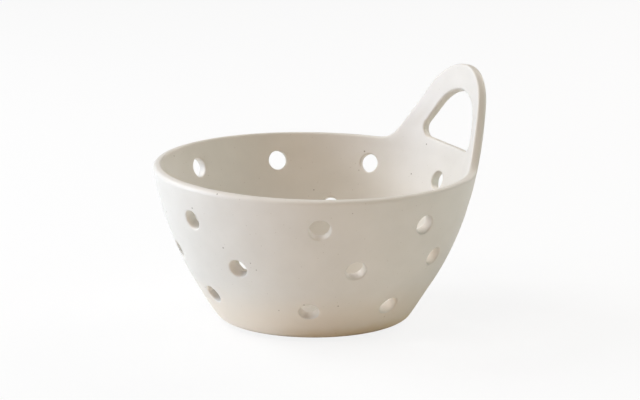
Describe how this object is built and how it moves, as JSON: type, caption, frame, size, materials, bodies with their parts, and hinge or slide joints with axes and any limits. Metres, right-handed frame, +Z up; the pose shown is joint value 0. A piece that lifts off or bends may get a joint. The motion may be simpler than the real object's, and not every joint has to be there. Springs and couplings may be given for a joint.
{
  "type": "berry colander bowl",
  "caption": "Small flared stoneware bowl with punched drain holes in its wall and floor, and a loop handle rising from one side of its rim.",
  "frame": {"origin": "centre of the foot ring's underside, on the bowl's axis", "axes": "+Z up along the bowl's axis, +X towards the handle"},
  "size_m": [0.1616, 0.152, 0.1147],
  "materials": {
    "glaze": "satin off-white stoneware glaze with sparse iron specks",
    "bare_clay": "bare fired stoneware, matte and sandy"
  },
  "bodies": {
    "root": {"bowl_wall": "glaze", "bowl_floor": "glaze", "foot_ring": "bare_clay", "handle_loop": "glaze"}
  },
  "joints": []
}
